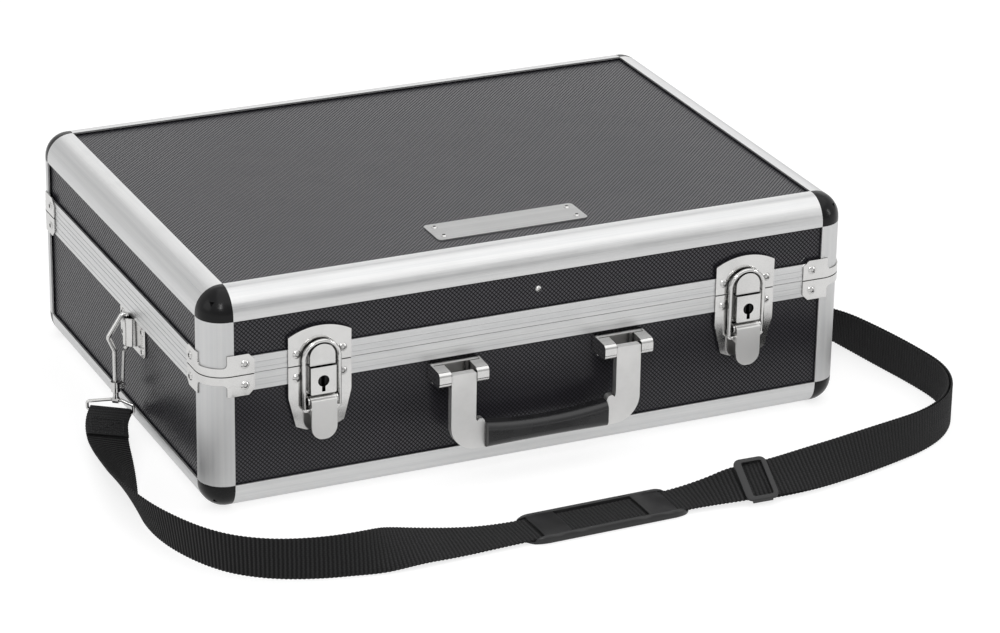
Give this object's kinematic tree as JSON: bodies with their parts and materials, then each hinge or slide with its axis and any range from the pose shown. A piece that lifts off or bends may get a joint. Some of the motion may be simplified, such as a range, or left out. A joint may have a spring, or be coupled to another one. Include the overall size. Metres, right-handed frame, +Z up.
{
  "type": "carrying case",
  "caption": "Framed carrying case with textured panels, aluminium edges, toggle latches, a drop handle, a hinged lid and a shoulder strap.",
  "frame": {"origin": "under the middle of the case, with its handle and hinges and without the strap, on the surface that it stands on", "axes": "+X along the width to the right, +Y to the rear, away from the latches, +Z up"},
  "size_m": [0.5802, 0.4607, 0.152],
  "materials": {
    "panel_laminate": "fine diamond texture",
    "anodised_aluminium": "satin anodised",
    "corner_plastic": "glossy moulded",
    "bright_plate": "bright plated",
    "rivet_steel": "bright",
    "lining_felt": "felt",
    "plate_metal": "brushed",
    "handle_metal": "satin plated",
    "grip_plastic": "satin moulded",
    "pin_steel": "plain",
    "webbing": "ribbed weave",
    "pad_rubber": "matte moulded",
    "slider_plastic": "matte moulded"
  },
  "bodies": {
    "base": {"base_bottom_panel": "panel_laminate", "base_front_panel": "panel_laminate", "base_rear_panel": "panel_laminate", "base_left_panel": "panel_laminate", "base_right_panel": "panel_laminate", "base_long_edges": "anodised_aluminium", "base_short_edges": "anodised_aluminium", "base_corner_posts": "anodised_aluminium", "base_long_rims": "anodised_aluminium", "base_short_rims": "anodised_aluminium", "base_corner_caps": "corner_plastic", "base_corner_plates": "bright_plate", "base_rivets": "rivet_steel", "base_lining": "lining_felt", "base_hinge_leaves": "bright_plate", "left_latch_plate": "bright_plate", "left_strap_bracket": "bright_plate", "left_hook": "bright_plate", "left_strap_loop": "bright_plate", "right_latch_plate": "bright_plate", "right_strap_bracket": "bright_plate", "right_hook": "bright_plate", "right_strap_loop": "bright_plate", "handle_brackets": "handle_metal", "latch_pins": "pin_steel", "handle_pins": "pin_steel", "hinge_pins": "pin_steel", "strap": "webbing", "strap_return": "webbing", "shoulder_pad": "pad_rubber", "strap_slider": "slider_plastic"},
    "lid": {"lid_top_panel": "panel_laminate", "lid_front_panel": "panel_laminate", "lid_rear_panel": "panel_laminate", "lid_left_panel": "panel_laminate", "lid_right_panel": "panel_laminate", "lid_long_edges": "anodised_aluminium", "lid_short_edges": "anodised_aluminium", "lid_corner_posts": "anodised_aluminium", "lid_long_rims": "anodised_aluminium", "lid_short_rims": "anodised_aluminium", "lid_corner_caps": "corner_plastic", "lid_corner_plates": "bright_plate", "lid_rivets": "rivet_steel", "lid_lining": "lining_felt", "lid_hinge_leaves": "bright_plate", "lid_plate": "plate_metal", "left_latch_catch": "bright_plate", "right_latch_catch": "bright_plate"},
    "left_latch_lever_body": {"left_latch_lever": "bright_plate"},
    "left_latch_bail_body": {"left_latch_bail": "bright_plate"},
    "left_lock_core_body": {"left_lock_core": "pin_steel"},
    "left_hook_gate_body": {"left_hook_gate": "bright_plate"},
    "right_latch_lever_body": {"right_latch_lever": "bright_plate"},
    "right_latch_bail_body": {"right_latch_bail": "bright_plate"},
    "right_lock_core_body": {"right_lock_core": "pin_steel"},
    "right_hook_gate_body": {"right_hook_gate": "bright_plate"},
    "handle": {"left_handle_arm": "handle_metal", "right_handle_arm": "handle_metal", "handle_grip": "grip_plastic"}
  },
  "joints": [
    {"name": "lid_hinge", "type": "hinge", "parent": "base", "child": "lid", "pos_m": [0, 0.1767, 0.096], "axis": [-1, 0, 0], "range_deg": [0, 95]},
    {"name": "handle_swing", "type": "hinge", "parent": "base", "child": "handle", "pos_m": [-0.0003, -0.1727, 0.0755], "axis": [-1, 0, 0], "range_deg": [0, 90]},
    {"name": "left_lever_turn", "type": "hinge", "parent": "base", "child": "left_latch_lever_body", "pos_m": [-0.153, -0.1613, 0.0717], "axis": [-1, 0, 0], "range_deg": [0, 100]},
    {"name": "left_bail_turn", "type": "hinge", "parent": "left_latch_lever_body", "child": "left_latch_bail_body", "pos_m": [-0.153, -0.1609, 0.0652], "axis": [-1, 0, 0], "range_deg": [-121, 0]},
    {"name": "left_key_turn", "type": "hinge", "parent": "base", "child": "left_lock_core_body", "pos_m": [-0.153, -0.1604, 0.0858], "axis": [0, 1, 0], "range_deg": [0, 90]},
    {"name": "left_gate_turn", "type": "hinge", "parent": "base", "child": "left_hook_gate_body", "pos_m": [-0.23665, -0.0142, 0.03545], "axis": [0, -1, 0], "range_deg": [0, 5], "stiffness_Nm_per_rad": 0.002},
    {"name": "right_lever_turn", "type": "hinge", "parent": "base", "child": "right_latch_lever_body", "pos_m": [0.153, -0.1613, 0.0717], "axis": [-1, 0, 0], "range_deg": [0, 100]},
    {"name": "right_bail_turn", "type": "hinge", "parent": "right_latch_lever_body", "child": "right_latch_bail_body", "pos_m": [0.153, -0.1609, 0.0652], "axis": [-1, 0, 0], "range_deg": [-121, 0]},
    {"name": "right_key_turn", "type": "hinge", "parent": "base", "child": "right_lock_core_body", "pos_m": [0.153, -0.1604, 0.0858], "axis": [0, 1, 0], "range_deg": [0, 90]},
    {"name": "right_gate_turn", "type": "hinge", "parent": "base", "child": "right_hook_gate_body", "pos_m": [0.23665, -0.0142, 0.03545], "axis": [0, 1, 0], "range_deg": [0, 5], "stiffness_Nm_per_rad": 0.002}
  ],
  "couplings": [
    {"joint": "left_bail_turn", "follows": "left_lever_turn", "ratio": -1.2},
    {"joint": "right_bail_turn", "follows": "right_lever_turn", "ratio": -1.2}
  ]
}
